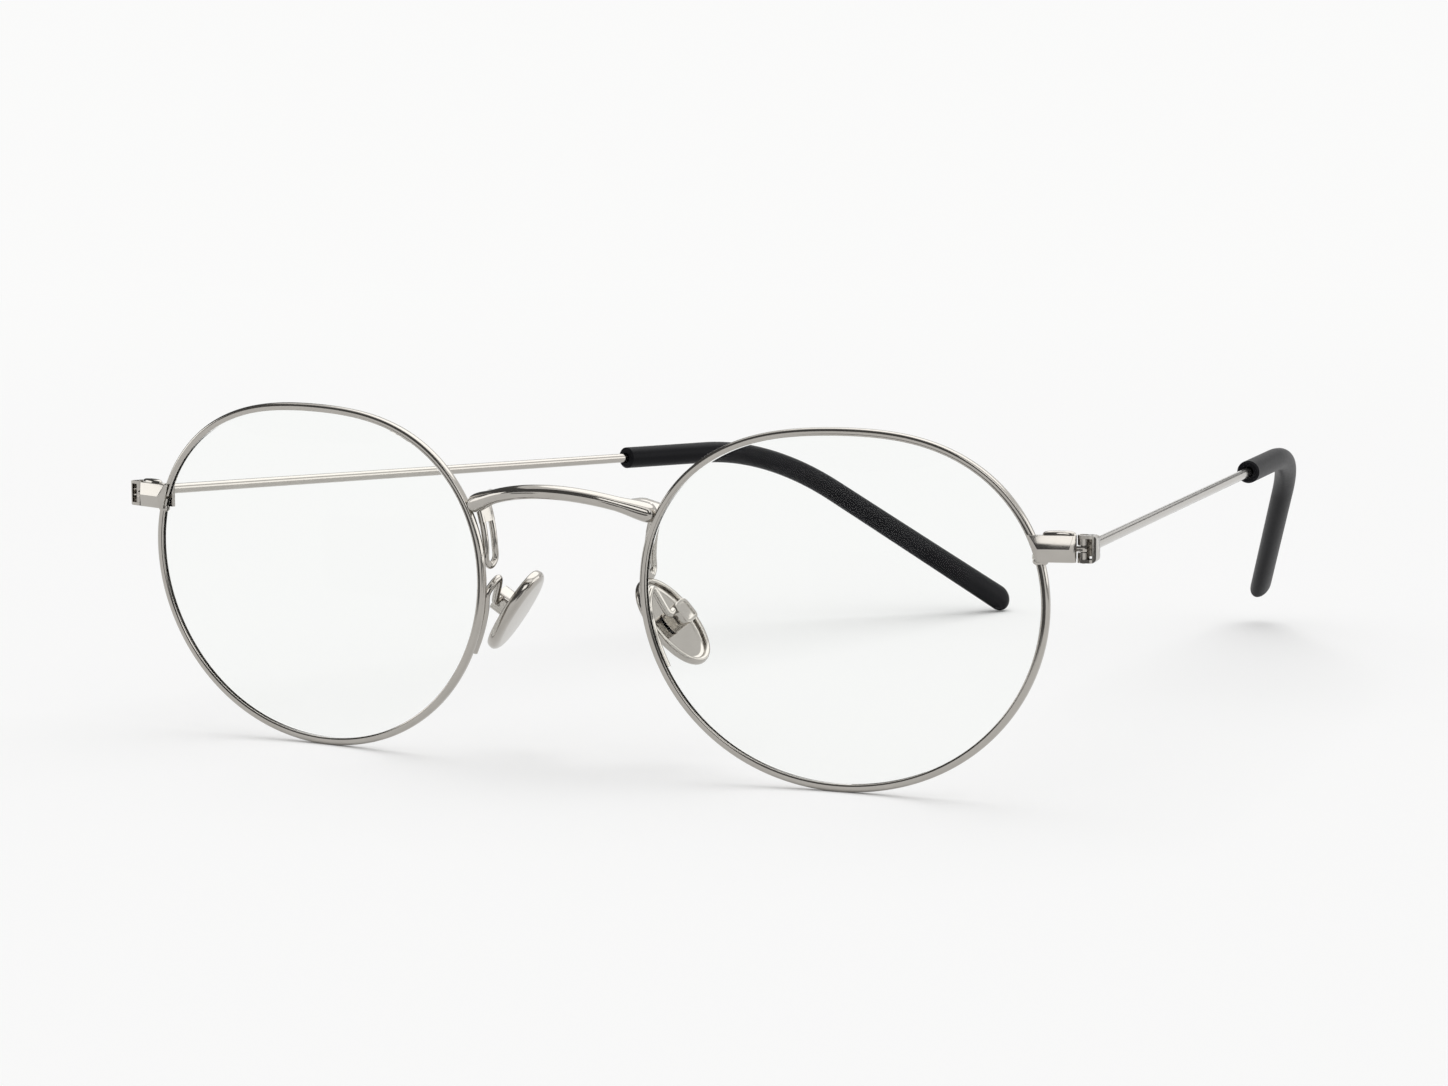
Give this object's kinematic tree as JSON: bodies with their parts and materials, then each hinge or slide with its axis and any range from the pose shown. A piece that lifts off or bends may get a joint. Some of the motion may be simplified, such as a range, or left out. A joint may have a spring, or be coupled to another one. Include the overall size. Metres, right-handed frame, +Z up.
{
  "type": "round reading glasses",
  "caption": "Round metal reading glasses with clear lenses, an arched bridge, metal nose pads and folding wire temples with black tips.",
  "frame": {"origin": "bottom centre of the bounding box, on the surface that the glasses stand on", "axes": "+X to the right seen from the front, +Y back along the temples, +Z up"},
  "size_m": [0.1298, 0.1602, 0.042],
  "materials": {
    "polished_steel": "polished, warm silver",
    "screw_steel": "plain",
    "clear_lens": "clear",
    "black_acetate": "satin black"
  },
  "bodies": {
    "front": {"bridge": "polished_steel", "rim_left": "polished_steel", "lens_left": "clear_lens", "end_piece_left": "polished_steel", "rim_lock_left": "polished_steel", "rim_screw_left": "screw_steel", "pad_arm_left": "polished_steel", "pad_box_left": "polished_steel", "pad_pin_left": "screw_steel", "rim_right": "polished_steel", "lens_right": "clear_lens", "end_piece_right": "polished_steel", "rim_lock_right": "polished_steel", "rim_screw_right": "screw_steel", "pad_arm_right": "polished_steel", "pad_box_right": "polished_steel", "pad_pin_right": "screw_steel"},
    "left_temple": {"hinge_fork_left": "polished_steel", "hinge_screw_left": "screw_steel", "temple_wire_left": "polished_steel", "temple_tip_left": "black_acetate"},
    "left_pad": {"nose_pad_left": "polished_steel"},
    "right_temple": {"hinge_fork_right": "polished_steel", "hinge_screw_right": "screw_steel", "temple_wire_right": "polished_steel", "temple_tip_right": "black_acetate"},
    "right_pad": {"nose_pad_right": "polished_steel"}
  },
  "joints": [
    {"name": "left_temple_fold", "type": "hinge", "parent": "front", "child": "left_temple", "pos_m": [-0.06405, -0.07089, 0.02937], "axis": [0, 0, -1], "range_deg": [-11.4, 71.1]},
    {"name": "right_temple_fold", "type": "hinge", "parent": "front", "child": "right_temple", "pos_m": [0.06386, -0.07089, 0.02937], "axis": [0, 0, 1], "range_deg": [-3.8, 70.7]},
    {"name": "left_pad_rock", "type": "hinge", "parent": "front", "child": "left_pad", "pos_m": [-0.01239, -0.06899, 0.01867], "axis": [0.0279, -0.9646, -0.2622], "range_deg": [-6, 6]},
    {"name": "right_pad_rock", "type": "hinge", "parent": "front", "child": "right_pad", "pos_m": [0.0122, -0.06899, 0.01867], "axis": [0.0279, 0.9646, 0.2622], "range_deg": [-6, 6]}
  ]
}
